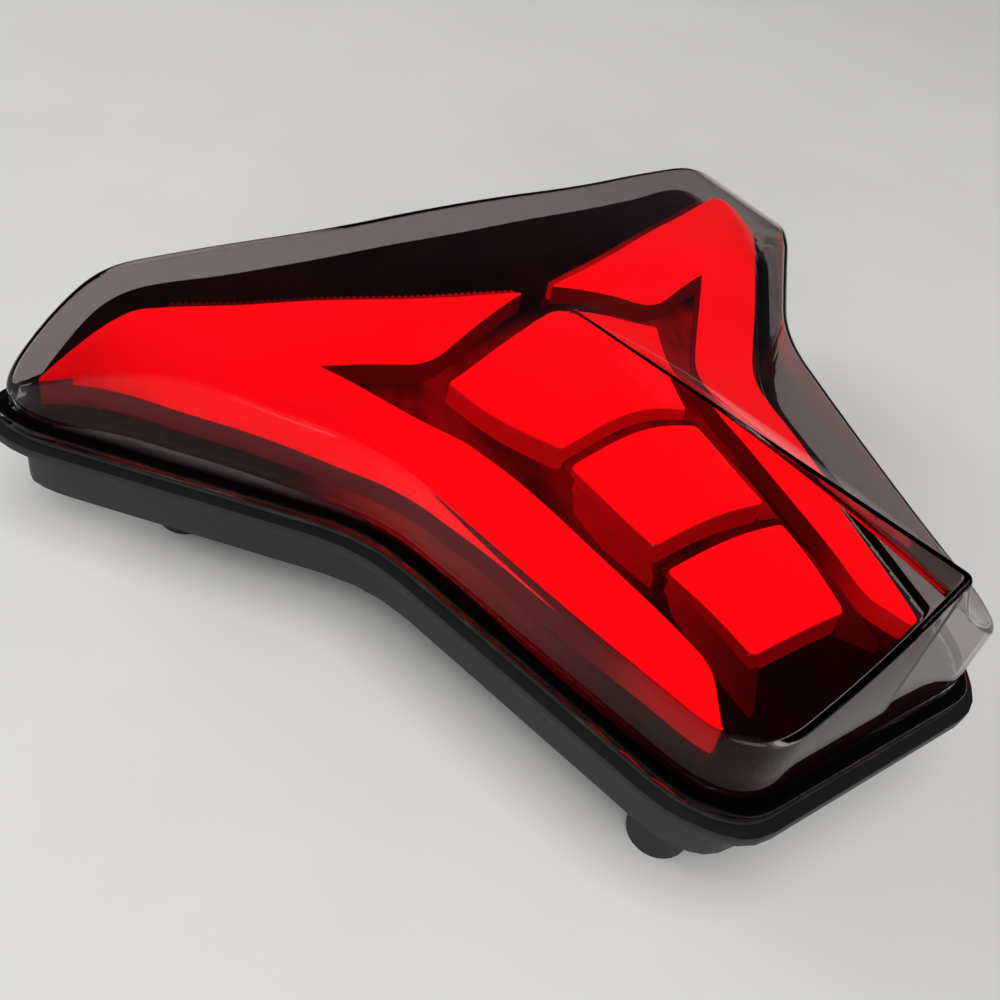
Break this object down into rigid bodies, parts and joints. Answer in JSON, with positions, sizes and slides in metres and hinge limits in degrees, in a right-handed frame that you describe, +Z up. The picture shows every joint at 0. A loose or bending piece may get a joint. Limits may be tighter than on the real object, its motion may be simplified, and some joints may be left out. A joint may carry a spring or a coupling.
{
  "type": "motorcycle tail light",
  "caption": "Winged motorcycle tail light: clear keeled lens over red light guides and stepped centre windows in a smoked bezel, on a black housing with bolt bosses and a socket.",
  "frame": {"origin": "centre of the lamp's box on the plane of the bay floor and the mounting bosses", "axes": "+X to the lamp's right wing, +Y forward to the seat, so the lit tail points to -Y, +Z up out of the lens"},
  "size_m": [0.2424, 0.1779, 0.0865],
  "materials": {
    "black_plastic": "moulded, fine grain",
    "connector_plastic": "moulded",
    "clear_lens": "clear, polished",
    "smoked_bezel": "smoked, high gloss",
    "red_light": "lit light guide",
    "white_plastic": "white reflector",
    "screw_steel": "zinc plated",
    "led_board": "white solder mask",
    "driver_board": "green solder mask",
    "brass": "turned",
    "seal_rubber": "moulded rubber",
    "orange_silicone": "silicone",
    "red_wire": "insulation",
    "black_wire": "insulation"
  },
  "bodies": {
    "root": {"bezel_frame": "smoked_bezel", "bezel_screw_1": "screw_steel", "bezel_screw_2": "screw_steel", "bezel_screw_3": "screw_steel", "breather_vent": "seal_rubber", "centre_board": "led_board", "centre_board_screw_1": "screw_steel", "centre_board_screw_2": "screw_steel", "centre_board_screw_3": "screw_steel", "centre_board_screw_4": "screw_steel", "centre_light_1": "red_light", "centre_light_2": "red_light", "centre_light_3": "red_light", "centre_reflector_1": "white_plastic", "centre_reflector_2": "white_plastic", "centre_reflector_3": "white_plastic", "connector_pin_1": "brass", "connector_pin_2": "brass", "connector_pin_3": "brass", "connector_seal": "orange_silicone", "connector_socket": "connector_plastic", "driver_board": "driver_board", "driver_board_screw_1": "screw_steel", "driver_board_screw_2": "screw_steel", "lead_left_black": "black_wire", "lead_left_red": "red_wire", "lead_right_black": "black_wire", "lead_right_red": "red_wire", "lens_gasket": "seal_rubber", "mount_insert_1": "brass", "mount_insert_2": "brass", "mount_insert_3": "brass", "mount_insert_4": "brass", "outer_lens": "clear_lens", "rear_housing": "black_plastic", "supply_lead_1": "red_wire", "supply_lead_2": "black_wire", "supply_lead_3": "black_wire", "wing_board_left": "led_board", "wing_board_right": "led_board", "wing_board_screw_left_1": "screw_steel", "wing_board_screw_left_2": "screw_steel", "wing_board_screw_right_1": "screw_steel", "wing_board_screw_right_2": "screw_steel", "wing_light_left": "red_light", "wing_light_right": "red_light", "wing_reflector_left": "white_plastic", "wing_reflector_right": "white_plastic"}
  },
  "joints": []
}
